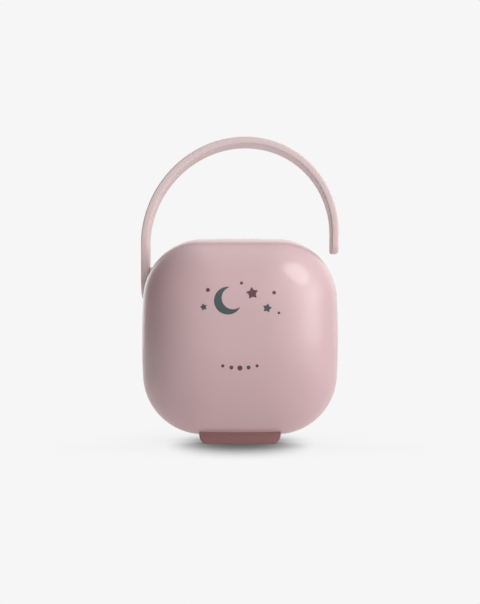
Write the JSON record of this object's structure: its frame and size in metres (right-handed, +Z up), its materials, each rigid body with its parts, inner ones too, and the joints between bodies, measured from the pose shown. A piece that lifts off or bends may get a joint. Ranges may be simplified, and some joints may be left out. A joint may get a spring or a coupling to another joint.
{
  "type": "pacifier sterilizer case",
  "caption": "Pillow-shaped clamshell case for steam-sterilising and carrying pacifiers, with a hinged domed cover, push latch, drip rack, split foot and swinging C-shaped strap.",
  "frame": {"origin": "on the floor under the middle of the case, at the parting plane between cover and back shell", "axes": "+Z up, -Y out of the domed front cover, +X to the viewer's right, on the strap's free side"},
  "size_m": [0.0782, 0.055, 0.12],
  "materials": {
    "shell_plastic": "semi-gloss",
    "strap_plastic": "satin",
    "foot_rubber": "matte",
    "seal_silicone": "matte",
    "rack_plastic": "satin",
    "fixing_plastic": "semi-gloss"
  },
  "bodies": {
    "case": {"rear_shell": "shell_plastic", "rear_foot": "foot_rubber", "hinge_pin": "fixing_plastic", "strap_stud": "fixing_plastic", "stud_retainer": "fixing_plastic", "latch_bracket": "fixing_plastic", "latch_rivets": "fixing_plastic", "latch_spring": "seal_silicone", "steam_rack": "rack_plastic", "rack_grommets": "seal_silicone", "vent_anchor": "seal_silicone"},
    "cover": {"front_cover": "shell_plastic", "front_foot": "foot_rubber", "cover_seal": "seal_silicone"},
    "strap": {"carry_strap": "strap_plastic", "strap_bush": "fixing_plastic"},
    "latch": {"latch_button": "shell_plastic"},
    "vent": {"vent_flap": "seal_silicone"}
  },
  "joints": [
    {"name": "cover_hinge", "type": "hinge", "parent": "case", "child": "cover", "pos_m": [0, 0, 0.003], "axis": [1, 0, 0], "range_deg": [0, 110]},
    {"name": "strap_swing", "type": "hinge", "parent": "case", "child": "strap", "pos_m": [-0.0369, 0.0088, 0.064], "axis": [1, 0, 0], "range_deg": [-110, 0]},
    {"name": "latch_press", "type": "slide", "parent": "case", "child": "latch", "axis": [0, 0, -1], "range_m": [0, 0.0013], "stiffness_N_per_m": 600, "springref_m": -0.001, "deforming": ["latch_spring"]},
    {"name": "vent_lift", "type": "hinge", "parent": "case", "child": "vent", "pos_m": [0.0367, 0.007, 0.044], "axis": [0, -1, 0], "range_deg": [0, 50], "stiffness_Nm_per_rad": 0.0003}
  ]
}
